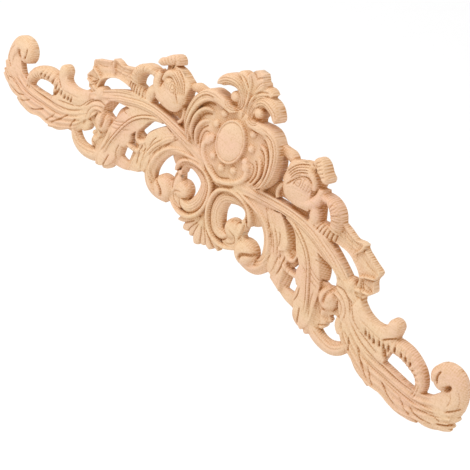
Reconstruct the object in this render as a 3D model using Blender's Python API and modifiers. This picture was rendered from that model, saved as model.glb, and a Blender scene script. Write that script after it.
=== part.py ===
"""Carved wood applique: one board of raw hardwood, pierced and carved as a
symmetrical spray of acanthus round an oval boss, with a flat back.

Frame: X along the length, Z up, the carved face towards -Y and the flat back
in the plane Y = 0. The origin is on the back, behind the centre of the oval.
Sizes are in millimetres until the last step, which scales them to metres.
"""
import math

import bmesh
import bpy
import numpy as np

# Driving sizes, in millimetres
CREST_TOP = 70.0         # top of the crest leaf above the oval's centre
RIM_HEIGHT = 17.0        # front of the cartouche rim above the back
OVAL_HALF_WIDTH = 16.3
OVAL_HALF_HEIGHT = 21.3
FIELD_HEIGHT = 10.5      # sunk ground round the oval
LEAST_HEIGHT = 1.0       # no front point of a form lies lower than this
LEAST_WIDTH = 0.2        # a band is never thinner than this
SAW_ALLOWANCE = 2.5      # stock left behind the back plane, sawn off at the end
SAW_SIZE = (700, 10, 300)

# How finely the carving is followed
VOXEL = 0.9
TRIANGLES = 8100
STEPS_ALONG = 28
STEPS_ACROSS = 10
KNOB_STEPS = 24
OVAL_STEPS = 40
MM = 0.001

# Share of a knob's radius and of its dome's height, from the middle out
KNOB_PROFILE = ((0.02, 1.0), (0.5, 0.93), (0.8, 0.72), (0.95, 0.45), (1.0, 0.0))
KNOB_DOME = 0.9          # dome height over radius


def curve_through(points, count):
    """Evenly spread points on a natural cubic spline through the given ones.

    The first two columns are x and z, and any others are carried along."""
    pts = np.array(points, float)
    step = np.hypot(*np.diff(pts[:, :2], axis=0).T)
    at = np.concatenate([[0.0], np.cumsum(step)])
    n = len(pts)
    system = np.eye(n)
    right = np.zeros_like(pts)
    for i in range(1, n - 1):
        system[i, i - 1:i + 2] = step[i - 1], 2 * (step[i - 1] + step[i]), step[i]
        right[i] = 6 * ((pts[i + 1] - pts[i]) / step[i] - (pts[i] - pts[i - 1]) / step[i - 1])
    bend = np.linalg.solve(system, right)
    where = np.linspace(0.0, at[-1], count)
    k = np.clip(np.searchsorted(at, where, side="right") - 1, 0, n - 2)
    h = step[k][:, None]
    a = (at[k + 1] - where)[:, None]
    b = (where - at[k])[:, None]
    return (bend[k] * a**3 / (6 * h) + bend[k + 1] * b**3 / (6 * h)
            + (pts[k] / h - bend[k] * h / 6) * a + (pts[k + 1] / h - bend[k + 1] * h / 6) * b)


def across(kind, v):
    """Height of a cross-section, 1 on its crest and 0 at its edges."""
    return np.sqrt(np.clip(1 - v * v, 0, 1)) if kind == "round" else 1 - v * v


def closed_sheet(bm, x, z, height):
    """Close a grid of front points with walls and a flat underside."""
    rows, cols = x.shape
    front = [[bm.verts.new((x[i, j], -height[i, j], z[i, j])) for j in range(cols)]
             for i in range(rows)]
    back = [[bm.verts.new((x[i, j], SAW_ALLOWANCE, z[i, j])) for j in range(cols)]
            for i in range(rows)]
    for i in range(rows - 1):
        for j in range(cols - 1):
            bm.faces.new((front[i][j], front[i][j + 1], front[i + 1][j + 1], front[i + 1][j]))
            bm.faces.new((back[i][j], back[i + 1][j], back[i + 1][j + 1], back[i][j + 1]))
    for i in range(rows - 1):
        bm.faces.new((front[i][0], front[i + 1][0], back[i + 1][0], back[i][0]))
        bm.faces.new((front[i + 1][-1], front[i][-1], back[i][-1], back[i + 1][-1]))
    for j in range(cols - 1):
        bm.faces.new((front[0][j + 1], front[0][j], back[0][j], back[0][j + 1]))
        bm.faces.new((front[-1][j], front[-1][j + 1], back[-1][j + 1], back[-1][j]))


def strip(bm, spine, drop=4.0, kind="round", veins=0, vein_depth=0.0, rings=0, ring_depth=0.0):
    """A carved band along a spine of (x, z, width, crest height).

    The edges lie `drop` below the crest, or above it where drop is negative,
    which makes a hollow channel. Veins run along it and rings across it."""
    line = curve_through(spine, STEPS_ALONG)
    xz, width, crest = line[:, :2], np.clip(line[:, 2], LEAST_WIDTH, None), line[:, 3]
    along = np.gradient(xz, axis=0)
    along /= np.hypot(*along.T)[:, None]
    side = np.stack([-along[:, 1], along[:, 0]], 1)
    v = np.linspace(-1, 1, STEPS_ACROSS + 1)[None, :]
    x = xz[:, :1] + side[:, :1] * width[:, None] / 2 * v
    z = xz[:, 1:] + side[:, 1:] * width[:, None] / 2 * v
    height = crest[:, None] - drop * (1 - across(kind, v))
    t = np.linspace(0, 1, STEPS_ALONG)[:, None]
    height = height - vein_depth * (1 - np.cos(math.pi * veins * (v + 1))) / 2
    height = height - ring_depth * (1 - np.cos(2 * math.pi * rings * t)) / 2
    closed_sheet(bm, x, z, np.clip(height, LEAST_HEIGHT, None))


def between(bm, left, right, height, rise=0.0, tilt=0.0, veins=0, vein_depth=0.0):
    """A carved area between two edges, each a list of (x, z).

    Height is (start, end) or one number for both ends, and rise is how far
    the middle stands above them, or below where it is negative. Tilt is how
    much higher the left edge is than the right one."""
    a = curve_through(left, STEPS_ALONG)
    b = curve_through(right, STEPS_ALONG)
    u = np.linspace(0, 1, STEPS_ACROSS + 1)[None, :]
    x = a[:, :1] * (1 - u) + b[:, :1] * u
    z = a[:, 1:] * (1 - u) + b[:, 1:] * u
    first, last = height if isinstance(height, tuple) else (height, height)
    t = np.linspace(0, 1, STEPS_ALONG)[:, None]
    swell = np.sin(math.pi * (0.1 + 0.8 * t))  # least at the two ends
    h = first + (last - first) * t + rise * across("arch", 2 * u - 1) * swell + tilt * (0.5 - u)
    h = h - vein_depth * (1 - np.cos(2 * math.pi * veins * u)) / 2
    closed_sheet(bm, x, z, np.clip(h, LEAST_HEIGHT, None))


def turned(bm, x, z, half_width, half_height, profile, steps):
    """A round or oval form from a profile of (share of the radius, height)."""
    angle = np.linspace(0, 2 * math.pi, steps + 1)[None, :]
    share, height = np.array(profile, float).T[:, :, None]
    gx = x + share * half_width * np.cos(angle)
    gz = z + share * half_height * np.sin(angle)
    closed_sheet(bm, gx, gz, height + 0 * gx)


def knob(bm, x, z, radius, height):
    """A round boss with an upright wall and a domed top."""
    dome = min(radius * KNOB_DOME, height - LEAST_HEIGHT)
    profile = [(r, height - dome * (1 - k)) for r, k in KNOB_PROFILE]
    turned(bm, x, z, radius, radius, profile, KNOB_STEPS)


def oval_boss(bm):
    """The oval plate with its bead, standing free in the sunk field."""
    profile = [(0.02, 14.4), (0.6, 14.2), (0.82, 13.8), (0.87, 12.9), (0.92, 14.3), (0.96, 14.0),
               (1.0, 12.0)]
    turned(bm, 0, 0, OVAL_HALF_WIDTH, OVAL_HALF_HEIGHT, profile, OVAL_STEPS)


def cartouche(bm):
    """Sunk field, pearls and the nested C-flutes that frame the oval."""
    between(bm, [(-2, 30), (-2, -40)], [(36, 26), (45, 5), (38, -20), (14, -34), (-2, -38)],
            FIELD_HEIGHT)
    for x, z in [(0, -27), (13, -22), (21, -8), (22, 6), (18, 19)]:
        knob(bm, x, z, 4.0, 13.2)
    between(bm, [(6, 27), (18, 31), (27, 33), (37, 33), (44.5, 28.5), (50.5, 20.5), (54, 11),
                 (55, 0), (52.5, -12), (43, -22)],
            [(12, 23), (25, 24), (36, 24), (43, 19), (46.5, 12), (48, 4), (48, -6), (45.5, -15),
             (41, -23)], (14.0, RIM_HEIGHT - 1), rise=2.0)
    between(bm, [(52, 18), (54, 10), (55, 3), (54, -6), (50, -16), (44, -23)],
            [(52.5, 18), (55.5, 11), (57.6, 3), (57.4, -5), (53.5, -14), (47, -23)], 12.0, tilt=6.0)
    strip(bm, [(27, 24, 3, 13), (36.5, 23, 4.5, 15.5), (43.5, 17, 4.5, 16.5), (48, 8, 4.5, 16.5),
               (49.5, -3, 4, 16.5), (48.5, -13, 3.5, 15.5), (43, -22, 2, 14)], drop=4)
    strip(bm, [(29, 14, 3, 12), (36, 13.5, 4.5, 14), (42, 8, 4.5, 15), (45.2, -0.5, 4.5, 15.5),
               (45.5, -10, 4, 15), (43, -17, 3.5, 14.5), (39.5, -22, 2, 13)], drop=4)
    strip(bm, [(30, 4, 4, 11), (35, 1, 5, 12.5), (38.5, -5, 5, 13.5), (39.5, -12, 4.5, 13.5),
               (37.5, -19, 4, 13), (34.5, -24, 2, 12)], drop=4)
    knob(bm, 24, -12, 5.0, 13.5)
    strip(bm, [(24, -12, 7, 12.5), (27, -18, 7, 13), (23.5, -27, 6.5, 13), (15, -34, 6, 13),
               (6, -38.5, 6, 13), (-3, -40.5, 6, 13)], drop=4.5)
    between(bm, [(48, -14), (56, -8), (64, -4), (70, -10), (78, -14)],
            [(46, -26), (56, -22), (63, -18), (67, -16.5), (74, -16.5)], 5.0)


def crest(bm):
    """The upright leaf on top, with a lobe curling down on each side."""
    strip(bm, [(0, 22, 12, 8.5), (0, 40, 13, 9), (0, 56, 17, 9.5), (0, 65, 15, 10.5),
               (0, CREST_TOP, 7.5, 9.5)], drop=-1.5, kind="arch")
    strip(bm, [(1, 30, 3, 10), (2, 42, 4, 11), (5, 55, 6, 11.5), (8, 62, 7, 11.5),
               (8.5, 64.5, 3, 11)], drop=4.5)
    strip(bm, [(4, 33, 4, 9), (7, 45, 8, 10), (11.5, 55, 11, 11), (15.5, 57.8, 9, 10.5),
               (20, 56.5, 6.5, 10)], drop=4)
    strip(bm, [(5, 27, 5, 9), (8, 40, 9, 11), (16, 49.2, 10.6, 13.5), (26, 48.8, 11, 15),
               (32.5, 43.8, 9, 15), (35, 39.5, 5, 14.5)], drop=4.5, kind="arch")
    strip(bm, [(16.5, 37, 3, 9), (14, 39, 4.5, 10), (10, 37, 5, 10), (8, 31, 5, 10),
               (12, 25.5, 5, 10.5), (19, 25, 5, 11), (24, 28, 4, 11)], drop=2)
    between(bm, [(6, 22), (6, 36), (8, 42)], [(22, 26), (19.5, 34), (17, 42)], 8.5)
    knob(bm, 14.8, 37.5, 5.2, 12.5)


def flower(bm):
    """The half-open bloom beside the cartouche, with its flared petals."""
    between(bm, [(63, 19), (65, 21), (69, 23), (74, 25.5), (80, 27.5), (88, 28)],
            [(63.5, 4), (65, -4), (70, -10.5), (79, -13.2), (98, -10.5)], 10.5, rise=4)
    between(bm, [(62, 3), (64, 13), (69, 19)], [(66, -3), (76, 0), (82, 10)], 10.5, rise=3)
    between(bm, [(90, 26), (91, 19), (92, 8), (94, 0)],
            [(101, 22.5), (100, 17), (100, 10), (102, 0)], 7.5, tilt=7.0)
    between(bm, [(100, 8), (102, 0), (103, -10)], [(108, 1), (110.5, -5), (113, -12)], 6.0,
            tilt=8.0)
    strip(bm, [(68, 3, 4, 11), (71, 12, 6, 13), (77, 19.5, 7, 14), (86, 21, 7, 14),
               (93, 16, 6, 13), (95, 9, 4, 12)], drop=3)
    knob(bm, 85, 8.5, 7.5, 14.2)
    strip(bm, [(85.5, 29, 7, 11), (88, 32.5, 9, 12.5), (94, 29.8, 9.5, 14.5),
               (100, 25.6, 7.5, 15.5), (105, 22.2, 5.5, 14.5)], drop=4.5)
    strip(bm, [(80, -9, 6, 11), (89, -8, 9, 12), (97, -3, 11, 12.5), (102, 5, 10, 12.5),
               (101, 14, 8, 11)], drop=4.5)
    strip(bm, [(96, -5, 9, 11), (102, -5, 10, 11.5), (104.5, -10, 12, 11.5), (105, -16, 11, 10.5),
               (102, -21, 8, 10)], drop=4.5)
    between(bm, [(78, -9), (86, -9), (95, -8)], [(78, -20), (86, -20), (95, -20)], 3.5)
    strip(bm, [(66, -2, 4, 8), (62, -7, 5, 9), (61, -13, 4, 9.5), (64, -18, 4, 10)], drop=2)
    strip(bm, [(46, 21.5, 8, 8), (53, 21, 8, 8.5), (59, 21, 8, 9), (63, 19, 7, 9)], drop=2)


def shell_cup(bm):
    """The ribbed shell that the ribbon leaves."""
    strip(bm, [(99, 5, 8, 9), (106, 8.5, 8, 12), (115, 9, 8.5, 15), (123, 4, 10.5, 16),
               (127, -5, 12, 14), (127, -12, 14, 11)], drop=6, rings=10, ring_depth=0.8)
    strip(bm, [(109, -18, 10, 9.5), (116, -17, 12, 11), (124, -16, 13, 10.5), (134, -15, 13, 8)],
          drop=4.5, rings=6, ring_depth=0.8)


def ribbon(bm):
    """The broad ruffled band that runs from the shell to the knot."""
    between(bm, [(124, 1), (134, -1.5), (142, -4), (150, -6), (157, -4.5), (160.5, -7.5),
                 (168, -11.5), (176, -15), (182.5, -18.5), (181, -26), (185, -36.5), (180.5, -41),
                 (178.5, -46)],
            [(124, -20), (131, -20), (138, -19.5), (145, -19.5), (151, -21), (156, -23.5),
             (161, -26.5), (165, -30), (167.5, -34), (168, -38), (168, -42), (168, -48)],
            (8.0, 9.5), rise=-1.5, veins=2, vein_depth=0.8)
    strip(bm, [(154, -17, 2.5, 9.5), (158, -11, 3, 10), (158.5, -4.5, 2, 9.5)], drop=2)
    strip(bm, [(167, -32, 2.5, 9.5), (173, -28, 3, 11), (180.5, -25, 2.5, 11)], drop=2)
    strip(bm, [(167, -44, 3, 10), (175, -41, 3.5, 11), (183, -38.5, 2, 11)], drop=2)
    knob(bm, 162, -44, 7.0, 11.0)
    knob(bm, 174, -50, 5.0, 8.5)


def main_stem(bm):
    """The stem from under the cartouche to the wing, with its upper flute."""
    between(bm, [(30, -22), (45, -21.5), (60, -20), (75, -18.5), (90, -18), (105, -19), (120, -20),
                 (132, -23.5), (145, -30), (157, -37), (172, -48), (186, -57)],
            [(14, -42), (30, -36), (50, -32), (68, -29), (80, -27.5), (90, -31), (104, -33),
             (118, -36), (128, -38), (136, -39.5), (142.5, -41), (147.5, -44.5), (151, -50)],
            (11.0, 9.5), rise=1.5, veins=2, vein_depth=1.0)
    between(bm, [(150, -46), (162, -46), (176, -50), (192, -58)],
            [(153, -58), (160, -66), (168, -76), (180, -84)], 9.0, rise=1.0, veins=2,
            vein_depth=1.0)
    strip(bm, [(60, -26, 4, 11.5), (85, -23, 5, 11.5), (105, -25, 5, 11.5), (122, -29.5, 5, 11.5),
               (136, -36, 4, 11), (150, -44, 3, 10.5)], drop=2)


def first_scroll(bm):
    """The hollow C-scroll that meets its mirror image below the oval."""
    strip(bm, [(48, -60, 4, 9), (46.5, -52, 6, 11), (38, -43.5, 5, 12), (27, -40.5, 5, 12),
               (14, -42.5, 5, 12), (4.5, -49.5, 5, 12.5), (1.5, -60, 5, 12.5), (2.5, -72, 5, 12.5),
               (8, -83.5, 5, 12), (17.5, -91.5, 5.5, 11.5), (29, -93.5, 5, 10.5),
               (38.5, -90.5, 4, 9.5), (45, -87, 3, 8)], drop=4)
    strip(bm, [(41.5, -58, 6, 8), (40.5, -51, 6.5, 8), (33, -46, 9.5, 8.5), (22.5, -47, 11, 9),
               (12, -52.5, 14, 10), (9.5, -64, 15, 10.5), (13, -76, 15, 10.5),
               (20, -83.5, 13, 10.5), (28, -83, 10, 10), (32, -77, 7, 9)], drop=4, kind="arch")
    knob(bm, 33, -73, 10.0, 11.0)
    between(bm, [(41, -55), (46, -61), (46, -68)], [(36, -68), (38, -80), (46, -84)], 8.5, rise=1.5)
    between(bm, [(26, -80), (34, -82), (42, -78)], [(28, -90), (36, -91), (46, -88)], 7.5, rise=1.0)


def second_volute(bm):
    """The broad band that ends in the ball volute, and the lobes beside it."""
    strip(bm, [(22, -36, 8, 11), (36, -38, 11, 11.5), (50, -40.5, 12, 11.5), (62.5, -46, 12.5, 11),
               (71.5, -56, 13.2, 10.5), (76.3, -69, 13.5, 10), (76.5, -81, 14, 9.5),
               (70, -91, 13, 9), (59, -94.5, 10, 8.5), (48.5, -93.5, 8, 8)], drop=4, kind="arch",
          veins=2, vein_depth=1.2)
    knob(bm, 54.5, -84.5, 13.5, 12.0)
    between(bm, [(43, -70), (46, -80), (46, -90)], [(66, -82), (68, -90), (56, -95)], 8.0)
    between(bm, [(44, -44), (52, -42), (60, -44)], [(46, -59), (50, -59), (54, -57.5), (59, -53)],
            6.0, tilt=5.0)
    between(bm, [(0, -36), (20, -34), (40, -30), (66, -28)],
            [(0, -46), (20, -42), (40, -38), (66, -42)], 9.0)


def first_leaf(bm):
    """Acanthus leaf between the volute and the long leaf."""
    between(bm, [(60, -36), (70, -46), (78, -58), (82, -70), (82, -79), (83, -84)],
            [(62, -31), (68, -34), (74, -40), (80, -48), (85, -56), (89, -64), (93, -74),
             (96, -88)], (10.5, 8.0), rise=1.0, veins=2, vein_depth=0.8)
    between(bm, [(86, -58), (88, -66), (90, -86)], [(98, -58), (98, -70), (97, -88)], 8.0)
    between(bm, [(74, -28.5), (81, -34.5), (87, -41.5), (91, -47), (92, -58)],
            [(80.5, -32.5), (88.5, -39.5), (95, -46.5), (98, -52), (98, -58)], 5.3, tilt=8.6)
    between(bm, [(62, -32), (72, -40), (80, -50), (86, -60)],
            [(74, -28.5), (81, -34.5), (87, -41.5), (91, -47), (92, -56)], 9.5)
    strip(bm, [(80, -28.5, 2.2, 9.5), (91, -32, 2.4, 9.5), (99.5, -40, 2.4, 9.5),
               (104, -49, 2.4, 9.5), (104.5, -56, 2.6, 9.5), (100, -61, 2.6, 9.5),
               (94.5, -60, 2, 9)], drop=2)
    strip(bm, [(90, -54, 7, 8), (95, -59, 8, 9), (101, -60.5, 6, 9), (105, -58, 3, 9)], drop=4)
    strip(bm, [(80, -60, 8, 9), (83, -71, 10, 9), (83.5, -80, 9, 8), (84, -85, 4, 7)], drop=4)
    strip(bm, [(92, -66, 6, 9), (99, -70, 5.5, 9.5), (106, -71, 5, 9.5), (112, -70.5, 4.5, 9)],
          drop=4)
    between(bm, [(93, -54), (96, -59), (99, -68)], [(104, -52), (107, -57), (104.5, -67)], 5.0)
    between(bm, [(86, -66), (92, -67), (98, -68)], [(88, -88), (94, -90.5), (100, -93)], 7.5,
            rise=0.5)
    between(bm, [(96, -66), (98, -80), (101, -93.5)], [(106, -70), (106.5, -80), (107, -96)], 5.5,
            tilt=6.0)


def long_leaf(bm):
    """The long pointed leaf with a double midrib."""
    between(bm, [(78, -26), (88, -30), (96, -37.5), (102, -48), (110, -58), (114, -68), (118, -78),
                 (120, -90), (126, -103), (136, -110)],
            [(90, -22), (105, -27), (118, -34), (126, -42), (131, -50), (135, -58), (138, -66),
             (139.5, -76), (141, -88), (142, -100), (138, -110)], (10.0, 8.0), rise=1.0)
    between(bm, [(120, -36), (127, -45), (133, -57)], [(132, -41), (137.5, -48), (139.5, -57)], 6.0,
            tilt=8.0)
    strip(bm, [(84, -27, 5, 10.5), (99, -33, 5.5, 11.5), (112, -42.5, 5.5, 11.5),
               (120, -54, 5.5, 11.5), (126, -67, 5.5, 11.5), (131, -80, 5, 11), (135, -93, 3, 10)],
          drop=1.5, kind="arch")
    strip(bm, [(113, -60, 7, 9), (113, -67, 8, 9), (117, -76, 6, 8.5)], drop=4)
    strip(bm, [(120, -76, 8, 9), (121, -86, 11, 8), (123, -94, 10, 7), (125, -99, 4, 6)], drop=4)
    between(bm, [(98, -87), (106, -87.5), (114, -87), (120, -84)],
            [(100, -94), (108, -97.5), (116, -99), (124, -100)], 5.0, rise=0.5)
    strip(bm, [(124, -95, 8, 7), (128, -104, 9, 7), (133, -109.5, 4, 6)], drop=2)
    strip(bm, [(138, -84, 8, 8), (140, -96, 10, 7.5), (141, -106, 9, 7), (142, -112, 4, 6)], drop=2)


def third_scroll(bm):
    """The loop with its curled ball, between the long leaf and the wing."""
    strip(bm, [(150, -84, 8, 5.5), (156, -85.5, 7, 5.5), (159.5, -86, 4, 5)], drop=2)
    knob(bm, 149, -68, 11.0, 12.0)
    knob(bm, 150, -65, 6.0, 12.8)
    strip(bm, [(141, -60.5, 3, 8), (148, -60, 4, 9), (155.5, -58.5, 8, 10.5), (164, -62, 12, 10),
               (169, -72, 12, 9), (168, -80, 10, 8)], drop=4, kind="arch", veins=2, vein_depth=1.0)
    between(bm, [(136, -72), (148, -72), (156, -70), (162, -71)],
            [(138, -98), (150, -99), (157, -94), (155, -84)], 5.5)
    between(bm, [(141.5, -41.5), (144.5, -48), (147.5, -57)], [(147, -41), (152, -46), (154, -57)],
            5.2, tilt=-8.0)
    between(bm, [(136, -58), (141, -58.5), (146, -59)], [(136, -66), (142, -66), (147, -66)], 5.5)
    between(bm, [(150, -70), (160, -70), (168, -72)],
            [(149, -80.5), (156, -80), (160, -78), (165, -77)], 6.0)
    strip(bm, [(138, -94, 12, 6), (146, -103, 15, 7), (157, -108, 14, 7.5), (168, -108, 13, 8),
               (178, -102, 12, 8.5), (184, -92, 8, 8)], drop=4, kind="arch")
    strip(bm, [(149, -80, 6, 7), (152, -87, 7, 7.5), (154, -93, 6, 7), (152, -97, 4, 7)], drop=2)
    strip(bm, [(167, -76, 8, 8), (168.5, -84, 9, 7.5), (172, -90, 5, 7)], drop=2)


def wing(bm):
    """The long feathered leaf that sweeps out to the end volute."""
    between(bm, [(160, -60), (175, -68), (190, -77), (205, -82), (220, -84), (236, -85.5),
                 (250, -86.5), (264, -84), (276, -78), (292, -73)],
            [(170, -76), (180, -93), (193, -101), (205, -107), (218, -110.5), (230, -110),
             (238, -112), (250, -113), (266, -108), (281, -101), (294, -92)], (9.0, 8.0), rise=1.0,
            veins=4, vein_depth=1.5)
    for x, z, length, slope in [(176, -88, 22, -38), (193, -97.5, 28, -32), (212, -104, 15, -20),
                                (232, -106, 30, -16), (250, -107, 20, -12), (264, -104, 26, 4),
                                (276, -99, 22, 5), (280, -95, 19, 8), (284, -90, 17, 22)]:
        dx, dz = math.cos(math.radians(slope)), math.sin(math.radians(slope))
        strip(bm, [(x - 6 * dx, z - 6 * dz, 5, 8),
                   (x + length * 0.35 * dx, z + length * 0.35 * dz, 11, 7.5),
                   (x + length * 0.75 * dx, z + length * 0.75 * dz, 8, 6),
                   (x + length * dx, z + length * dz, 1.5, 5)], drop=2)
    strip(bm, [(206, -103, 8, 8), (212, -108.5, 7, 7.5), (216.5, -112.8, 2.5, 6.5)], drop=2)
    strip(bm, [(247, -106, 9, 7.5), (253, -110.5, 7, 7), (257.5, -113.6, 2.5, 6.5)], drop=2)


def shoulder_arc(bm):
    """The concave top edge between the knot and the horn, with its stub."""
    between(bm, [(176, -47), (182, -52), (187, -55), (193, -57), (200, -57.5), (206, -55.5),
                 (210, -50)],
            [(172, -62), (182, -68), (194, -71), (206, -71.5), (216, -70.5), (222, -67)],
            (9.5, 9.5), rise=1.5)
    between(bm, [(176, -62), (190, -66), (206, -68), (222, -70)],
            [(176, -74), (190, -82), (206, -86), (219.5, -86)], 9.0)
    strip(bm, [(212, -68, 11, 9.5), (214.5, -58, 14, 10.5), (215, -51, 14, 11)], drop=4.5)
    knob(bm, 215, -49.5, 6.8, 11.0)


def horn(bm):
    """The ribbed horn that arches over the long opening."""
    strip(bm, [(208, -70, 8, 8.5), (220, -65.5, 14, 10), (232, -64, 14.4, 11),
               (244, -67.4, 14, 10.5), (253.5, -73.5, 12.5, 9.5), (258, -83, 11, 9),
               (257, -92, 8, 8)], drop=6, rings=14, ring_depth=0.8)


def end_volute(bm):
    """The big curl that closes each end."""
    strip(bm, [(285, -88, 22, 8), (289, -77, 20, 8.5), (287.5, -65.5, 20, 9.5),
               (280, -57, 22, 10.5), (270.2, -56.5, 17.6, 11.5), (265.8, -61.5, 11.5, 11.5),
               (266.5, -67, 7.5, 10)], drop=4.5, kind="arch")
    knob(bm, 272.5, -62, 10.0, 11.0)
    between(bm, [(268, -83), (275, -73), (278, -66)], [(284, -92), (290, -84), (294, -74)], 7.5,
            rise=1.0)


def palmette(bm):
    """The small shell below the scrolls, on the centre line."""
    strip(bm, [(0, -78, 8, 8), (0, -92, 12, 8.5), (0, -104, 14, 7.5), (0, -111.5, 6, 6)], drop=4)
    strip(bm, [(6, -84, 6, 7.5), (10.5, -96, 10, 7.5), (15.5, -103, 9.5, 6.5), (18, -106.3, 4, 6)],
          drop=2)
    strip(bm, [(5, -94, 6, 7), (7.5, -103, 8.5, 6.5), (8.5, -107.5, 4, 6)], drop=2)
    strip(bm, [(14, -88, 5, 7.5), (21, -96.5, 8, 7), (25, -100.5, 5, 6), (27, -102, 2, 6)], drop=2)
    between(bm, [(-2, -44), (-2, -60), (-2, -80)], [(4, -44), (4, -60), (8, -84)], 6.0)


MOTIFS = (oval_boss, cartouche, crest, flower, shell_cup, ribbon, main_stem, first_scroll,
          second_volute, first_leaf, long_leaf, third_scroll, wing, shoulder_arc, horn,
          end_volute, palmette)


def raw_wood():
    """Pale unfinished hardwood."""
    material = bpy.data.materials.new("raw_wood")
    material.use_nodes = True
    shader = material.node_tree.nodes["Principled BSDF"]
    shader.inputs["Base Color"].default_value = (0.79, 0.55, 0.36, 1.0)
    shader.inputs["Roughness"].default_value = 0.62
    shader.inputs["Metallic"].default_value = 0.0
    return material


def carved_board(parts):
    """All motifs of one half, fused, mirrored and thinned to a light solid."""
    bm = bmesh.new()
    for motif in MOTIFS:
        motif(bm)
    bmesh.ops.scale(bm, vec=(MM, MM, MM), verts=bm.verts)
    mesh = bpy.data.meshes.new("carved_applique")
    bm.to_mesh(mesh)
    bm.free()
    board = bpy.data.objects.new("carved_applique", mesh)
    parts.objects.link(board)
    mirror = board.modifiers.new("other_half", "MIRROR")
    mirror.use_axis[0] = True
    mirror.use_mirror_merge = False
    fuse = board.modifiers.new("fuse_carving", "REMESH")
    fuse.mode = "VOXEL"
    fuse.voxel_size = VOXEL * MM
    return board, board.modifiers.new("fewer_facets", "DECIMATE")


def flatten_back(board, cutters):
    """Saw the stock off behind the back plane."""
    bpy.ops.mesh.primitive_cube_add(size=1.0, location=(0.0, SAW_SIZE[1] * MM / 2, 0.0))
    saw = bpy.context.active_object
    saw.name = "back_saw"
    saw.scale = [side * MM for side in SAW_SIZE]
    for holder in list(saw.users_collection):
        holder.objects.unlink(saw)
    cutters.objects.link(saw)
    saw.hide_render = True
    saw.display_type = "WIRE"
    cut = board.modifiers.new("flat_back", "BOOLEAN")
    cut.operation = "DIFFERENCE"
    cut.object = saw
    cut.solver = "EXACT"


def triangles_of(board):
    """Triangle count of the board as its modifiers leave it."""
    bpy.context.view_layer.update()
    mesh = board.evaluated_get(bpy.context.evaluated_depsgraph_get()).data
    mesh.calc_loop_triangles()
    return len(mesh.loop_triangles)


def build():
    for thing in list(bpy.data.objects):
        bpy.data.objects.remove(thing, do_unlink=True)
    parts = bpy.data.collections.new("carved_applique")
    cutters = bpy.data.collections.new("cutters")
    bpy.context.scene.collection.children.link(parts)
    bpy.context.scene.collection.children.link(cutters)
    board, thin = carved_board(parts)
    thin.ratio = TRIANGLES / triangles_of(board)
    flatten_back(board, cutters)
    board.data.materials.append(raw_wood())
    print("triangles:", triangles_of(board))


build()
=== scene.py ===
# %% [markdown]
# A carved wood applique: one board of pale raw hardwood, pierced and carved as a spray of
# acanthus round an oval boss. A carver glues it to a door or a mantel. This notebook keeps
# the board's outline and its main heights, and carves the same forms again much finer: the
# forms are first lofted one by one and fused like clay, then a parting tool runs along the
# flutes and veins, and last come the sawn back, the bare wood and the studio.

# %% Load the frame
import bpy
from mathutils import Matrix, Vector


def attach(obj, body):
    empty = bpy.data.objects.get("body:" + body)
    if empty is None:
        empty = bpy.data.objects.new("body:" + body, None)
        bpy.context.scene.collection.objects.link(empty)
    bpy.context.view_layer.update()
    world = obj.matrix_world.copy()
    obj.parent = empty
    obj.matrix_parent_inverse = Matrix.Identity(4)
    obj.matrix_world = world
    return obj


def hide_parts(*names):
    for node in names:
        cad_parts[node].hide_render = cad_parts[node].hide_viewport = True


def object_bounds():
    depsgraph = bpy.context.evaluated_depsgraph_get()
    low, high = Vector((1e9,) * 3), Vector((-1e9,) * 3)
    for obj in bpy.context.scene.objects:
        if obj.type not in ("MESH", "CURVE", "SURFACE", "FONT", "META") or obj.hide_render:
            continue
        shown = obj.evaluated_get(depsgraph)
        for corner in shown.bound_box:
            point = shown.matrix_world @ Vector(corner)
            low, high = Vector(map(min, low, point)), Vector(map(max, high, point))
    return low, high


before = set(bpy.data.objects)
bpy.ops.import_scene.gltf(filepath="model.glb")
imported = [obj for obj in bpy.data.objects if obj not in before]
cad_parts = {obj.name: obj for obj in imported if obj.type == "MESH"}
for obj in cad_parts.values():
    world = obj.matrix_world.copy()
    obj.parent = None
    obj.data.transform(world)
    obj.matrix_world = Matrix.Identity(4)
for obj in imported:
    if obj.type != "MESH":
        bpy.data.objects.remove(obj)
cad_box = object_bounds()
print("board, in metres:", [[round(float(v), 4) for v in corner] for corner in cad_box])

# %% Tools of the trade
import math

import bmesh
import bpy
import mathutils
import numpy as np

# %% [markdown]
# All sizes are in millimetres until the board is done. X runs along the length, Z is up, and
# heights are measured from the flat back towards the eye. Only the half on the +X side is
# drawn, and a mirror makes the other one, as a carver would flip the same template.

# %% Sizes
MM = 0.001
CREST_TOP = 70.0
RIM_HEIGHT = 17.0
OVAL_HALF_WIDTH = 16.3
OVAL_HALF_HEIGHT = 21.3
FIELD_HEIGHT = 10.5
LEAST_HEIGHT = 1.0
LEAST_WIDTH = 0.2
VOXEL = 0.46
TRIANGLES = 197000
STEPS_ALONG = 56
STEPS_ACROSS = 24
KNOB_STEPS = 48
OVAL_STEPS = 96
KNOB_PROFILE = ((0.02, 1.0), (0.25, 0.985), (0.5, 0.93), (0.66, 0.86), (0.8, 0.72), (0.9, 0.58),
                (0.95, 0.45), (0.98, 0.25), (1.0, 0.0))
KNOB_DOME = 0.9
print("voxel", VOXEL, "mm, about", TRIANGLES, "triangles")

# %% [markdown]
# A carved scroll follows a smooth line that a few points describe. A natural cubic spline
# passes through them all without kinks, and can carry the width and the height of the form
# along with the place.

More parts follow.
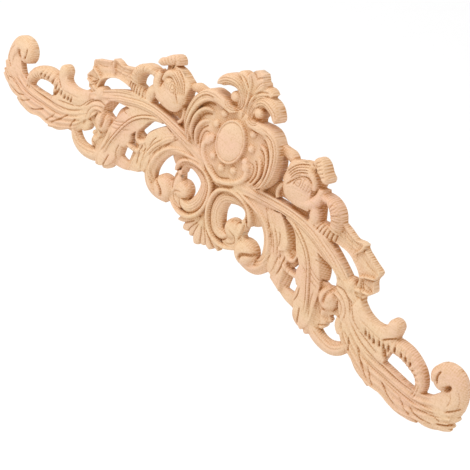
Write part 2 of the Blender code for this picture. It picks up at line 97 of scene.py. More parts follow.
# %% A smooth line through a few points
def curve_through(points, count):
    """Evenly spread points on a natural cubic spline through the given ones.

    The first two columns are x and z, and any others are carried along."""
    pts = np.array(points, float)
    step = np.hypot(*np.diff(pts[:, :2], axis=0).T)
    at = np.concatenate([[0.0], np.cumsum(step)])
    n = len(pts)
    system = np.eye(n)
    right = np.zeros_like(pts)
    for i in range(1, n - 1):
        system[i, i - 1:i + 2] = step[i - 1], 2 * (step[i - 1] + step[i]), step[i]
        right[i] = 6 * ((pts[i + 1] - pts[i]) / step[i] - (pts[i] - pts[i - 1]) / step[i - 1])
    bend = np.linalg.solve(system, right)
    where = np.linspace(0.0, at[-1], count)
    k = np.clip(np.searchsorted(at, where, side="right") - 1, 0, n - 2)
    h = step[k][:, None]
    a = (at[k + 1] - where)[:, None]
    b = (where - at[k])[:, None]
    return (bend[k] * a**3 / (6 * h) + bend[k + 1] * b**3 / (6 * h)
            + (pts[k] / h - bend[k] * h / 6) * a + (pts[k + 1] / h - bend[k + 1] * h / 6) * b)


print("middle of a test line:", curve_through([(0, 0), (10, 5), (20, 0)], 3)[1])

# %% [markdown]
# Each form is a grid of front points that is closed with walls and an underside, so that all
# forms can later be fused into one solid. The same few builders make every leaf: a strip
# along a spine, an area between two edges, and a turned boss.

# %% Builders for the forms
carving = bmesh.new()


def across(kind, v):
    """Height of a cross-section, 1 on its crest and 0 at its edges."""
    return np.sqrt(np.clip(1 - v * v, 0, 1)) if kind == "round" else 1 - v * v


def closed_sheet(x, z, height):
    """Close a grid of front points with walls and a flat underside."""
    rows, cols = x.shape
    front = [[carving.verts.new((x[i, j], -height[i, j], z[i, j])) for j in range(cols)]
             for i in range(rows)]
    back = [[carving.verts.new((x[i, j], 0.0, z[i, j])) for j in range(cols)]
            for i in range(rows)]
    add = carving.faces.new
    for i in range(rows - 1):
        for j in range(cols - 1):
            add((front[i][j], front[i][j + 1], front[i + 1][j + 1], front[i + 1][j]))
            add((back[i][j], back[i + 1][j], back[i + 1][j + 1], back[i][j + 1]))
    for i in range(rows - 1):
        add((front[i][0], front[i + 1][0], back[i + 1][0], back[i][0]))
        add((front[i + 1][-1], front[i][-1], back[i][-1], back[i + 1][-1]))
    for j in range(cols - 1):
        add((front[0][j + 1], front[0][j], back[0][j], back[0][j + 1]))
        add((front[-1][j], front[-1][j + 1], back[-1][j + 1], back[-1][j]))


def strip(spine, drop=4.0, kind="round", veins=0, vein_depth=0.0, rings=0, ring_depth=0.0):
    """A carved band along a spine of (x, z, width, crest height).

    The edges lie `drop` below the crest, or above it where drop is negative,
    which makes a hollow channel. Veins run along it and rings across it."""
    line = curve_through(spine, STEPS_ALONG)
    xz, width, crest = line[:, :2], np.clip(line[:, 2], LEAST_WIDTH, None), line[:, 3]
    along = np.gradient(xz, axis=0)
    along /= np.hypot(*along.T)[:, None]
    side = np.stack([-along[:, 1], along[:, 0]], 1)
    v = np.linspace(-1, 1, STEPS_ACROSS + 1)[None, :]
    x = xz[:, :1] + side[:, :1] * width[:, None] / 2 * v
    z = xz[:, 1:] + side[:, 1:] * width[:, None] / 2 * v
    height = crest[:, None] - drop * (1 - across(kind, v))
    t = np.linspace(0, 1, STEPS_ALONG)[:, None]
    height = height - vein_depth * (1 - np.cos(math.pi * veins * (v + 1))) / 2
    height = height - ring_depth * (1 - np.cos(2 * math.pi * rings * t)) / 2
    closed_sheet(x, z, np.clip(height, LEAST_HEIGHT, None))


def between(left, right, height, rise=0.0, tilt=0.0, veins=0, vein_depth=0.0):
    """A carved area between two edges, each a list of (x, z).

    Height is (start, end) or one number for both ends, and rise is how far
    the middle stands above them, or below where it is negative. Tilt is how
    much higher the left edge is than the right one."""
    a = curve_through(left, STEPS_ALONG)
    b = curve_through(right, STEPS_ALONG)
    u = np.linspace(0, 1, STEPS_ACROSS + 1)[None, :]
    x = a[:, :1] * (1 - u) + b[:, :1] * u
    z = a[:, 1:] * (1 - u) + b[:, 1:] * u
    first, last = height if isinstance(height, tuple) else (height, height)
    t = np.linspace(0, 1, STEPS_ALONG)[:, None]
    swell = np.sin(math.pi * (0.1 + 0.8 * t))  # least at the two ends
    h = first + (last - first) * t + rise * across("arch", 2 * u - 1) * swell + tilt * (0.5 - u)
    h = h - vein_depth * (1 - np.cos(2 * math.pi * veins * u)) / 2
    closed_sheet(x, z, np.clip(h, LEAST_HEIGHT, None))


def turned(x, z, half_width, half_height, profile, steps):
    """A round or oval form from a profile of (share of the radius, height)."""
    angle = np.linspace(0, 2 * math.pi, steps + 1)[None, :]
    share, height = np.array(profile, float).T[:, :, None]
    gx = x + share * half_width * np.cos(angle)
    gz = z + share * half_height * np.sin(angle)
    closed_sheet(gx, gz, height + 0 * gx)


def knob(x, z, radius, height):
    """A round boss with an upright wall and a domed top."""
    dome = min(radius * KNOB_DOME, height - LEAST_HEIGHT)
    profile = [(r, height - dome * (1 - k)) for r, k in KNOB_PROFILE]
    turned(x, z, radius, radius, profile, KNOB_STEPS)


# %% [markdown]
# The fine lines are cut after the forms are fused, as a carver works: first the masses, then
# the V-tool. Each cut is stamped into a map of depths over the half board. Where cuts cross,
# the deeper one counts, and the ends of a cut fade out.

# %% The map of tool cuts
MAP_STEP = 0.2
MAP_X0, MAP_X1, MAP_Z0, MAP_Z1 = -3.0, 306.0, -122.0, 80.0
STAMP_SPACING = 0.3
FEWEST_STAMPS = 8
FAINTEST_END = 0.15
GUIDE_POINTS = 24
cut_map = np.zeros((int((MAP_Z1 - MAP_Z0) / MAP_STEP), int((MAP_X1 - MAP_X0) / MAP_STEP)))


def reached(middle, reach, start, count):
    """The map's rows or columns that a tool touches, and where their middles lie."""
    first = max(int((middle - reach - start) / MAP_STEP), 0)
    last = min(int((middle + reach - start) / MAP_STEP) + 2, count)
    return slice(first, last), start + (np.arange(first, last) + 0.5) * MAP_STEP


def cut(points, width, depth, fade=0.15):
    """Run a tool along a smooth line of (x, z) and note its depth in the map.

    At each end the cut gets fainter, over `fade` as a share of its length."""
    length = np.hypot(*np.diff(np.array(points, float), axis=0).T).sum()
    count = max(int(length / STAMP_SPACING), FEWEST_STAMPS)
    reach = width / 2
    for k, (x, z) in enumerate(curve_through(points, count)):
        t = k / (count - 1)
        ends = min(1.0, min(t, 1 - t) / fade + FAINTEST_END)
        rows, zz = reached(z, reach, MAP_Z0, cut_map.shape[0])
        cols, xx = reached(x, reach, MAP_X0, cut_map.shape[1])
        far = ((xx[None, :] - x)**2 + (zz[:, None] - z)**2) / reach**2
        mark = depth * ends * np.clip(1 - far, 0, 1)**1.5
        cut_map[rows, cols] = np.maximum(cut_map[rows, cols], mark)


def side_lines(points, offsets, width, depth):
    """Several cuts side by side, each at its offset from one line."""
    line = curve_through(points, GUIDE_POINTS)
    along = np.gradient(line, axis=0)
    along /= np.hypot(*along.T)[:, None]
    for offset in offsets:
        cut(line + offset * np.stack([-along[:, 1], along[:, 0]], 1), width, depth)


def made(what):
    """Print how far the carving has come."""
    print(what + ":", len(carving.faces), "faces so far,",
          int(np.count_nonzero(cut_map) * MAP_STEP**2), "mm2 under the tool")


# %% [markdown]
# The middle is a plain oval plate with a bead round its rim. It stands free in the sunk
# field, so it is a turned form of its own with a double line for the bead.

# %% Oval boss
profile = [(0.02, 14.4), (0.6, 14.2), (0.82, 13.8), (0.87, 12.9), (0.92, 14.3), (0.96, 14.0),
           (1.0, 12.0)]
turned(0, 0, OVAL_HALF_WIDTH, OVAL_HALF_HEIGHT, profile, OVAL_STEPS)
made("oval boss")

# %% [markdown]
# A frame of nested C-flutes holds the oval. The flutes rise towards a smooth outer rail, the
# highest place of the board, and a few pearls sit in the sunk field.

# %% Cartouche
between([(-2, 30), (-2, -40)], [(36, 26), (45, 5), (38, -20), (14, -34), (-2, -38)], FIELD_HEIGHT)
for x, z in [(0, -27), (13, -22), (21, -8), (22, 6), (18, 19)]:
    knob(x, z, 4.0, 13.2)
between([(6, 27), (18, 31), (27, 33), (37, 33), (44.5, 28.5), (50.5, 20.5), (54, 11), (55, 0),
         (52.5, -12), (43, -22)],
        [(12, 23), (25, 24), (36, 24), (43, 19), (46.5, 12), (48, 4), (48, -6), (45.5, -15),
         (41, -23)], (14.0, RIM_HEIGHT - 1), rise=2.0)
between([(52, 18), (54, 10), (55, 3), (54, -6), (50, -16), (44, -23)],
        [(52.5, 18), (55.5, 11), (57.6, 3), (57.4, -5), (53.5, -14), (47, -23)], 12.0, tilt=6.0)
strip([(27, 24, 3, 13), (36.5, 23, 4.5, 15.5), (43.5, 17, 4.5, 16.5), (48, 8, 4.5, 16.5),
       (49.5, -3, 4, 16.5), (48.5, -13, 3.5, 15.5), (43, -22, 2, 14)], drop=4)
strip([(29, 14, 3, 12), (36, 13.5, 4.5, 14), (42, 8, 4.5, 15), (45.2, -0.5, 4.5, 15.5),
       (45.5, -10, 4, 15), (43, -17, 3.5, 14.5), (39.5, -22, 2, 13)], drop=4)
strip([(30, 4, 4, 11), (35, 1, 5, 12.5), (38.5, -5, 5, 13.5), (39.5, -12, 4.5, 13.5),
       (37.5, -19, 4, 13), (34.5, -24, 2, 12)], drop=4)
knob(24, -12, 5.0, 13.5)
strip([(24, -12, 7, 12.5), (27, -18, 7, 13), (23.5, -27, 6.5, 13), (15, -34, 6, 13),
       (6, -38.5, 6, 13), (-3, -40.5, 6, 13)], drop=4.5)
between([(48, -14), (56, -8), (64, -4), (70, -10), (78, -14)],
        [(46, -26), (56, -22), (63, -18), (67, -16.5), (74, -16.5)], 5.0)
side_lines([(20, 28.5), (34, 29.5), (42, 27), (48, 21), (52, 12), (53.3, 1), (52.5, -10),
            (49.5, -19)], (0.2,), 1.4, 0.8)
cut([(31, 27), (39, 26), (45.5, 20.5), (50, 10.5), (51.5, 0), (51, -10), (48, -19)], 2.2, 1.5, 0.05)
cut([(30, 20), (37, 18.8), (43, 12.5), (46.8, 4), (47.8, -5), (47, -14), (44, -21)], 2.4, 1.8, 0.05)
cut([(30, 10.5), (36.5, 8), (41, 1.5), (42.7, -7), (41.5, -15), (38, -22)], 2.4, 1.8, 0.05)
cut([(30, -1), (35, -7), (36, -15), (33, -23)], 2.2, 1.5, 0.05)
cut([(25, -6), (30, -7), (32, -13), (31, -20), (27, -26)], 2.2, 1.4)
cut([(12, -31), (3, -36), (-3, -37)], 1.8, 1.4)
made("cartouche")

# %% [markdown]
# The leaf on top has a Y-shaped rib, and on each side a lobe that curls down over a little
# ball, with grooves that follow the curl.

# %% Crest leaf
strip([(0, 22, 12, 8.5), (0, 40, 13, 9), (0, 56, 17, 9.5), (0, 65, 15, 10.5),
       (0, CREST_TOP, 7.5, 9.5)], drop=-1.5, kind="arch")
strip([(1, 30, 3, 10), (2, 42, 4, 11), (5, 55, 6, 11.5), (8, 62, 7, 11.5), (8.5, 64.5, 3, 11)],
      drop=4.5)
strip([(4, 33, 4, 9), (7, 45, 8, 10), (11.5, 55, 11, 11), (15.5, 57.8, 9, 10.5),
       (20, 56.5, 6.5, 10)], drop=4)
strip([(5, 27, 5, 9), (8, 40, 9, 11), (16, 49.2, 10.6, 13.5), (26, 48.8, 11, 15),
       (32.5, 43.8, 9, 15), (34.4, 41.3, 6.6, 15), (35, 39.5, 2.4, 14)], drop=4.5, kind="arch")
strip([(16.5, 37, 3, 9), (14, 39, 4.5, 10), (10, 37, 5, 10), (8, 31, 5, 10), (12, 25.5, 5, 10.5),
       (19, 25, 5, 11), (24, 28, 4, 11)], drop=2)
between([(6, 22), (6, 36), (8, 42)], [(22, 26), (19.5, 34), (17, 42)], 8.5)
knob(14.8, 37.5, 5.2, 12.5)
cut([(0, 45), (4, 51), (9, 55.5), (17, 58.5)], 2.4, 1.3)
cut([(-1, 62), (3, 66), (9, 68.5)], 2.4, 1.2)
side_lines([(2, 34), (3, 42), (8, 50), (15, 54.5), (24, 54.5)], (0, -1.9, -3.8), 1.5, 0.8)
side_lines([(7, 44), (4, 37), (6, 29), (12, 26.5), (18, 28), (21, 32)], (0, 1.8, 3.6), 1.5, 1)
cut([(-1, 22), (1, 30), (0, 40)], 1.8, 1.4)
side_lines([(7, 40), (15, 48.2), (25, 48.2), (31.5, 44), (34, 40.5)], (0, 2.3, -2.3), 1.4, 1.0)
side_lines([(4, 52), (7, 60), (14, 65), (22, 65)], (0, 2.2), 1.3, 0.7)
made("crest leaf")

# %% [markdown]
# The bloom beside the cartouche is a spiral of petals with wrinkles, a broad smooth petal
# below and a flared lip above.

# %% Half-open flower
between([(63, 19), (65, 21), (69, 23), (74, 25.5), (80, 27.5), (88, 28)],
        [(63.5, 4), (65, -4), (70, -10.5), (79, -13.2), (98, -10.5)], 10.5, rise=4)
between([(62, 3), (64, 13), (69, 19)], [(66, -3), (76, 0), (82, 10)], 10.5, rise=3)
between([(90, 26), (91, 19), (92, 8), (94, 0)], [(101, 22.5), (100, 17), (100, 10), (102, 0)], 7.5,
        tilt=7.0)
between([(100, 8), (102, 0), (103, -10)], [(108, 1), (110.5, -5), (113, -12)], 6.0, tilt=8.0)
strip([(68, 3, 4, 11), (71, 12, 6, 13), (77, 19.5, 7, 14), (86, 21, 7, 14), (93, 16, 6, 13),
       (95, 9, 4, 12)], drop=3)
knob(85, 8.5, 7.5, 14.2)
strip([(85.5, 29, 7, 11), (88, 32.5, 9, 12.5), (94, 29.8, 9.5, 14.5), (100, 25.6, 7.5, 15.5),
       (103.6, 23.2, 6.2, 15), (105, 22.2, 2.4, 14)], drop=4.5)
strip([(80, -9, 6, 11), (89, -8, 9, 12), (97, -3, 11, 12.5), (102, 5, 10, 12.5), (101, 14, 8, 11)],
      drop=4.5)
strip([(96, -5, 9, 11), (102, -5, 10, 11.5), (104.5, -10, 12, 11.5), (105, -16, 11, 10.5),
       (102, -21, 8, 10)], drop=4.5)
between([(78, -9), (86, -9), (95, -8)], [(78, -20), (86, -20), (95, -20)], 3.5)
strip([(66, -2, 4, 8), (62, -7, 5, 9), (61, -13, 4, 9.5), (64, -18, 4, 10)], drop=2)
strip([(46, 21.5, 8, 8), (53, 21, 8, 8.5), (59, 21, 8, 9), (63, 19, 7, 9)], drop=2)
cut([(68.5, -1), (72, 4), (76.5, 10.5), (81, 14.8), (87, 16), (92, 13)], 2.2, 1.7)
cut([(76, 4), (77.5, 9.5), (82, 12.5)], 1.6, 1.4)
for k in range(5):
    cut([(81 + 2.8 * k, 12.5 - 0.5 * k), (82 + 2.6 * k, 8), (81.5 + 2.4 * k, 4.5)], 1.4, 0.8)
cut([(72, 2), (75, 9), (80, 13.5), (86, 14)], 1.6, 1.2)
side_lines([(67, 8), (70, 15), (76, 21), (84, 25)], (2.2, 0, -2.2, -4.4), 1.6, 1.3)
cut([(70, 24), (77, 27), (84, 29)], 1.7, 1.2)
for radius in (2.4, 5.0):
    turns = [k * math.pi / 6 for k in range(11)]
    cut([(80 + radius * math.cos(a), 10 + radius * math.sin(a)) for a in turns], 1.3, 0.9)
for k in range(5):
    cut([(87 + 2.6 * k, 31.5 - 1.9 * k), (91 + 2.6 * k, 36 - 2.3 * k)], 1.7, 0.9)
side_lines([(84, 24), (92, 25), (100, 23), (105, 20)], (0, -1.7), 1.4, 0.8)
cut([(70, -2), (78, 1), (88, 3), (98, 2)], 1.4, 0.3)
made("half-open flower")

# %% [markdown]
# Where the ribbon leaves the flower stands a cup with fine ribs across its rim, like the edge
# of a scallop.

# %% Shell cup
strip([(99, 5, 8, 9), (106, 8.5, 8, 12), (115, 9, 8.5, 15), (123, 4, 10.5, 16), (127, -5, 12, 14),
       (127, -12, 14, 11)], drop=6, rings=10, ring_depth=0.8)
strip([(109, -18, 10, 9.5), (116, -17, 12, 11), (124, -16, 13, 10.5), (134, -15, 13, 8)], drop=4.5,
      rings=6, ring_depth=0.8)
for k in range(9):
    a = math.radians(110 - 15 * k)
    cut([(116 + 6 * math.cos(a), -2 + 6 * math.sin(a)),
         (116 + 15 * math.cos(a), -2 + 13 * math.sin(a))], 1.5, 0.8)
for k in range(6):
    cut([(114 + 3.6 * k, -11 - 0.4 * k), (112 + 4.0 * k, -20)], 2.0, 1.7)
made("shell cup")

# %% [markdown]
# A broad band ripples from the cup to the knot. Its folds are raised lines that fan out to
# the wavy upper edge.

# %% Ruffled ribbon
between([(124, 1), (134, -1.5), (142, -4), (150, -6), (157, -4.5), (160.5, -7.5), (168, -11.5),
         (176, -15), (182.5, -18.5), (181, -26), (185, -36.5), (180.5, -41), (178.5, -46)],
        [(124, -20), (131, -20), (138, -19.5), (145, -19.5), (151, -21), (156, -23.5),
         (161, -26.5), (165, -30), (167.5, -34), (168, -38), (168, -42), (168, -48)], (8.0, 9.5),
        rise=-1.5, veins=2, vein_depth=0.8)
strip([(154, -17, 2.5, 9.5), (158, -11, 3, 10), (158.5, -4.5, 2, 9.5)], drop=2)
strip([(167, -32, 2.5, 9.5), (173, -28, 3, 11), (180.5, -25, 2.5, 11)], drop=2)
strip([(167, -44, 3, 10), (175, -41, 3.5, 11), (183, -38.5, 2, 11)], drop=2)
knob(162, -44, 7.0, 11.0)
knob(174, -50, 5.0, 8.5)
cut([(155, -17), (159, -11), (163, -5)], 2.2, 1.6)
cut([(164, -16), (170, -19), (177, -20)], 1.6, 0.8)
cut([(171, -30), (176, -28), (182, -25.5)], 2.2, 1.6)
cut([(170, -32), (172.5, -36), (177, -40)], 2, 1.3)
cut([(172, -34), (178, -35), (184, -36.5)], 1.7, 1)
side_lines([(128, -5), (138, -9), (148, -11), (156, -12)], (0, 3.2, -3.4), 1.5, 0.7)
cut([(130, -1), (137, -8), (141, -15)], 1.6, 0.8)
cut([(143, -5), (147, -11), (149, -18)], 1.5, 0.7)
cut([(170, -34), (173, -40), (178, -43)], 1.7, 1.2)
made("ruffled ribbon")

# %% [markdown]
# The stem carries the whole wing. Fine parallel lines run along it, as in a bundle of leaf
# stalks.

# %% Main stem
between([(30, -22), (45, -21.5), (60, -20), (75, -18.5), (90, -18), (105, -19), (120, -20),
         (132, -23.5), (145, -30), (157, -37), (172, -48), (186, -57)],
        [(14, -42), (30, -36), (50, -32), (68, -29), (80, -27.5), (90, -31), (104, -33),
         (118, -36), (128, -38), (136, -39.5), (142.5, -41), (147.5, -44.5), (151, -50)],
        (11.0, 9.5), rise=1.5, veins=2, vein_depth=1.0)
between([(150, -46), (162, -46), (176, -50), (192, -58)],
        [(153, -58), (160, -66), (168, -76), (180, -84)], 9.0, rise=1.0, veins=2, vein_depth=1.0)
strip([(60, -26, 4, 11.5), (85, -23, 5, 11.5), (105, -25, 5, 11.5), (122, -29.5, 5, 11.5),
       (136, -36, 4, 11), (150, -44, 3, 10.5)], drop=2)
side_lines([(34, -30), (55, -27), (75, -24.5), (95, -24), (112, -27), (126, -32), (140, -38),
            (152, -46)], (-3.4, -1.1, 1.2, 3.5), 1.4, 0.7)
side_lines([(120, -26), (134, -31), (148, -38), (160, -45)], (3.0, 5.0), 1.4, 0.8)
cut([(150, -52), (160, -51), (168, -56), (175, -66)], 1.8, 1.4)
cut([(166, -52), (174, -60), (180, -68), (190, -73)], 1.6, 1)
made("main stem")

# %% [markdown]
# A hollow C-scroll meets its mirror image below the oval and rolls up into a small spiral,
# with thin lines that follow the roll.

# %% C-scroll under the oval
strip([(48, -60, 4, 9), (46.5, -52, 6, 11), (38, -43.5, 5, 12), (27, -40.5, 5, 12),
       (14, -42.5, 5, 12), (4.5, -49.5, 5, 12.5), (1.5, -60, 5, 12.5), (2.5, -72, 5, 12.5),
       (8, -83.5, 5, 12), (17.5, -91.5, 5.5, 11.5), (29, -93.5, 5, 10.5), (38.5, -90.5, 4, 9.5),
       (45, -87, 3, 8)], drop=4)
strip([(41.5, -58, 6, 8), (40.5, -51, 6.5, 8), (33, -46, 9.5, 8.5), (22.5, -47, 11, 9),
       (12, -52.5, 14, 10), (9.5, -64, 15, 10.5), (13, -76, 15, 10.5), (20, -83.5, 13, 10.5),
       (28, -83, 10, 10), (32, -77, 7, 9)], drop=4, kind="arch")
knob(33, -73, 10.0, 11.0)
between([(41, -55), (46, -61), (46, -68)], [(36, -68), (38, -80), (46, -84)], 8.5, rise=1.5)
between([(26, -80), (34, -82), (42, -78)], [(28, -90), (36, -91), (46, -88)], 7.5, rise=1.0)
cut([(45, -58), (42, -48), (37, -44), (27, -42), (15, -43.5), (7, -50), (4, -60), (4.5, -71),
     (9, -81), (17, -88.5), (25, -89), (30.5, -85), (31.5, -78)], 2, 1.6, 0.1)
side_lines([(41, -55), (37, -47.5), (27, -44.5), (17, -46), (10, -52), (7.5, -61), (8.5, -71),
            (13, -79.5), (19, -84.5), (25, -85)], (0, 2.4, 4.8), 1.4, 0.7)
cut([(29.5, -67), (34, -63), (41, -61)], 3.4, 2.0)
cut([(43.5, -60), (45, -68), (43.5, -78)], 3.0, 1.8)
cut([(31, -74), (37, -75.5), (41, -80), (38, -86), (31, -88)], 2.0, 1.1)
cut([(24, -72), (26, -78), (30, -80)], 2.1, 1.7)
made("c-scroll under the oval")

# %% [markdown]
# The broad band beside the scroll ends in a ball that curls like a comma.

# %% Ball volute
strip([(22, -36, 8, 11), (36, -38, 11, 11.5), (50, -40.5, 12, 11.5), (62.5, -46, 12.5, 11),
       (71.5, -56, 13.2, 10.5), (76.3, -69, 13.5, 10), (76.5, -81, 14, 9.5), (70, -91, 13, 9),
       (59, -94.5, 10, 8.5), (48.5, -93.5, 8, 8)], drop=4, kind="arch", veins=2, vein_depth=1.2)
knob(54.5, -84.5, 13.5, 12.0)
between([(43, -70), (46, -80), (46, -90)], [(66, -82), (68, -90), (56, -95)], 8.0)
between([(44, -44), (52, -42), (60, -44)], [(46, -59), (50, -59), (54, -57.5), (59, -53)], 6.0,
        tilt=5.0)
between([(0, -36), (20, -34), (40, -30), (66, -28)], [(0, -46), (20, -42), (40, -38), (66, -42)],
        9.0)
cut([(53, -92), (53.5, -87), (58, -83.5), (64, -80.5), (70, -75)], 4.4, 3.4, 0.1)
side_lines([(30, -38), (46, -41), (58, -47), (66, -56), (70, -66)], (2.6, -2.6), 1.5, 0.8)
cut([(56.5, -32), (62, -37.5), (66, -43), (68.5, -48)], 1.7, 1.2)
cut([(80, -43.5), (83, -49), (85, -57)], 1.7, 1.2)
for x, z in ((72.5, -53), (89, -64), (87.5, -72)):
    cut([(x, z + 2.2), (x + 0.6, z - 2.2)], 2.2, 1.5, 0.3)
side_lines([(79, -66), (77, -76), (72, -84), (64, -89)], (1.5, -1.5), 1.4, 0.7)
made("ball volute")

# %% [markdown]
# An acanthus leaf with rounded lobes turns down beside the volute. Its inner side is cut away
# steeply, which leaves the tool marks to see.

# %% First leaf
between([(60, -36), (70, -46), (78, -58), (82, -70), (82, -79), (83, -84)],
        [(62, -31), (68, -34), (74, -40), (80, -48), (85, -56), (89, -64), (93, -74), (96, -88)],
        (10.5, 8.0), rise=1.0, veins=2, vein_depth=0.8)
between([(86, -58), (88, -66), (90, -86)], [(98, -58), (98, -70), (97, -88)], 8.0)
between([(74, -28.5), (81, -34.5), (87, -41.5), (91, -47), (92, -58)],
        [(80.5, -32.5), (88.5, -39.5), (95, -46.5), (98, -52), (98, -58)], 5.3, tilt=8.6)
between([(62, -32), (72, -40), (80, -50), (86, -60)],
        [(74, -28.5), (81, -34.5), (87, -41.5), (91, -47), (92, -56)], 9.5)
strip([(80, -28.5, 2.2, 9.5), (91, -32, 2.4, 9.5), (99.5, -40, 2.4, 9.5), (104, -49, 2.4, 9.5),
       (104.5, -56, 2.6, 9.5), (100, -61, 2.6, 9.5), (94.5, -60, 2, 9)], drop=2)
strip([(90, -54, 7, 8), (95, -59, 8, 9), (101, -60.5, 6, 9), (105, -58, 3, 9)], drop=4)
strip([(80, -60, 8, 9), (83, -71, 10, 9), (83.5, -80, 9, 8), (84, -85, 4, 7)], drop=4)
strip([(92, -66, 6, 9), (99, -70, 5.5, 9.5), (106, -71, 5, 9.5), (112, -70.5, 4.5, 9)], drop=4)
between([(93, -54), (96, -59), (99, -68)], [(104, -52), (107, -57), (104.5, -67)], 5.0)
between([(86, -66), (92, -67), (98, -68)], [(88, -88), (94, -90.5), (100, -93)], 7.5, rise=0.5)
between([(96, -66), (98, -80), (101, -93.5)], [(106, -70), (106.5, -80), (107, -96)], 5.5, tilt=6.0)
side_lines([(72, -44), (80, -54), (85, -66)], (-2, 2), 1.5, 0.7)
cut([(94, -60), (94.5, -70), (93, -82)], 1.8, 1.7)
cut([(88, -64), (88.5, -74), (87, -84)], 1.6, 1)
side_lines([(101, -64), (103, -76), (102, -88)], (-1.6, 1.6), 1.4, 0.8)
made("first leaf")

# %% [markdown]
# The longest leaf carries a thin double midrib with veins that leave it towards the lobes.

# %% Long leaf
between([(78, -26), (88, -30), (96, -37.5), (102, -48), (110, -58), (114, -68), (118, -78),
         (120, -90), (126, -103), (136, -110)],
        [(90, -22), (105, -27), (118, -34), (126, -42), (131, -50), (135, -58), (138, -66),
         (139.5, -76), (141, -88), (142, -100), (138, -110)], (10.0, 8.0), rise=1.0)
between([(120, -36), (127, -45), (133, -57)], [(132, -41), (137.5, -48), (139.5, -57)], 6.0,
        tilt=8.0)
strip([(84, -27, 5, 10.5), (99, -33, 5.5, 11.5), (112, -42.5, 5.5, 11.5), (120, -54, 5.5, 11.5),
       (126, -67, 5.5, 11.5), (131, -80, 5, 11), (135, -93, 3, 10)], drop=1.5, kind="arch")
strip([(113, -60, 7, 9), (113, -67, 8, 9), (117, -76, 6, 8.5)], drop=4)
strip([(120, -76, 8, 9), (121, -86, 11, 8), (123, -94, 10, 7), (125, -99, 4, 6)], drop=4)
between([(98, -87), (106, -87.5), (114, -87), (120, -84)],
        [(100, -94), (108, -97.5), (116, -99), (124, -100)], 5.0, rise=0.5)
strip([(124, -95, 8, 7), (128, -104, 9, 7), (133, -109.5, 4, 6)], drop=2)
strip([(138, -84, 8, 8), (140, -96, 10, 7.5), (141, -106, 9, 7), (142, -112, 4, 6)], drop=2)
side_lines([(86, -27.5), (100, -33.5), (113, -43.5), (121, -55), (127, -68), (132, -81), (135, -93)],
           (-1.5, 1.5), 1.6, 1.5)
cut([(122, -44), (132, -44), (138, -47)], 1.6, 1)
side_lines([(114, -52), (122, -56), (130, -60), (138, -62)], (0, 3, -4), 1.5, 0.8)
cut([(120, -76), (121, -86), (119, -92)], 1.8, 1.4)
cut([(128, -92), (130, -100), (132, -108)], 2.1, 1.7)
cut([(134, -70), (136, -84), (140, -96)], 1.6, 1)
made("long leaf")

# %% [markdown]
# Between the long leaf and the wing a loop closes round a ball with a rolled rim.

# %% Loop and curled ball
strip([(150, -84, 8, 5.5), (156, -85.5, 7, 5.5), (159.5, -86, 4, 5)], drop=2)
knob(149, -68, 11.0, 12.0)
knob(150, -65, 6.0, 12.8)
strip([(141, -60.5, 3, 8), (148, -60, 4, 9), (155.5, -58.5, 8, 10.5), (164, -62, 12, 10),
       (169, -72, 12, 9), (168, -80, 10, 8)], drop=4, kind="arch", veins=2, vein_depth=1.0)
between([(136, -72), (148, -72), (156, -70), (162, -71)],
        [(138, -98), (150, -99), (157, -94), (155, -84)], 5.5)
between([(141.5, -41.5), (144.5, -48), (147.5, -57)], [(147, -41), (152, -46), (154, -57)], 5.2,
        tilt=-8.0)
between([(136, -58), (141, -58.5), (146, -59)], [(136, -66), (142, -66), (147, -66)], 5.5)
between([(150, -70), (160, -70), (168, -72)], [(149, -80.5), (156, -80), (160, -78), (165, -77)],
        6.0)
strip([(138, -94, 12, 6), (146, -103, 15, 7), (157, -108, 14, 7.5), (168, -108, 13, 8),
       (178, -102, 12, 8.5), (184, -92, 8, 8)], drop=4, kind="arch")
strip([(149, -80, 6, 7), (152, -87, 7, 7.5), (154, -93, 6, 7), (152, -97, 4, 7)], drop=2)
strip([(167, -76, 8, 8), (168.5, -84, 9, 7.5), (172, -90, 5, 7)], drop=2)
cut([(150, -57), (147, -64), (147.5, -74)], 4.5, 3, 0.2)
cut([(158, -62), (159.5, -68), (157, -76)], 2, 1.6)
cut([(151, -83), (155, -87)], 7.0, 2.4, 0.5)
cut([(149, -98), (158, -101.5)], 6.0, 2.2, 0.5)
cut([(141, -78), (148, -86), (158, -88)], 1.6, 0.8)
cut([(149, -97), (154, -93), (158, -90)], 2.1, 1.5)
side_lines([(146, -99), (158, -103), (170, -103), (180, -95)], (0, -3), 1.5, 0.8)
side_lines([(152, -57), (163, -61), (168, -70), (168, -78)], (2.2, -2.2), 1.4, 0.7)
made("loop and curled ball")

# %% [markdown]
# The wing leaf sweeps out to the end. A long ledge crosses it, with lines along the sweep and
# slanting cuts between the feathers.

# %% Feathered wing
between([(160, -60), (175, -68), (190, -77), (205, -82), (220, -84), (236, -85.5), (250, -86.5),
         (264, -84), (276, -78), (292, -73)],
        [(170, -76), (180, -93), (193, -101), (205, -107), (218, -110.5), (230, -110), (238, -112),
         (250, -113), (266, -108), (281, -101), (294, -92)], (9.0, 8.0), rise=1.0, veins=4,
        vein_depth=1.5)
for x, z, length, slope in [(176, -88, 22, -38), (193, -97.5, 28, -32), (212, -104, 15, -20),
                            (232, -106, 30, -16), (250, -107, 20, -12), (264, -104, 26, 4),
                            (276, -99, 22, 5), (280, -95, 19, 8), (284, -90, 17, 22)]:
    dx, dz = math.cos(math.radians(slope)), math.sin(math.radians(slope))
    strip([(x - 6 * dx, z - 6 * dz, 5, 8),
           (x + length * 0.35 * dx, z + length * 0.35 * dz, 11, 7.5),
           (x + length * 0.75 * dx, z + length * 0.75 * dz, 8, 6),
           (x + length * dx, z + length * dz, 1.5, 5)], drop=2)
strip([(206, -103, 8, 8), (212, -108.5, 7, 7.5), (216.5, -112.8, 2.5, 6.5)], drop=2)
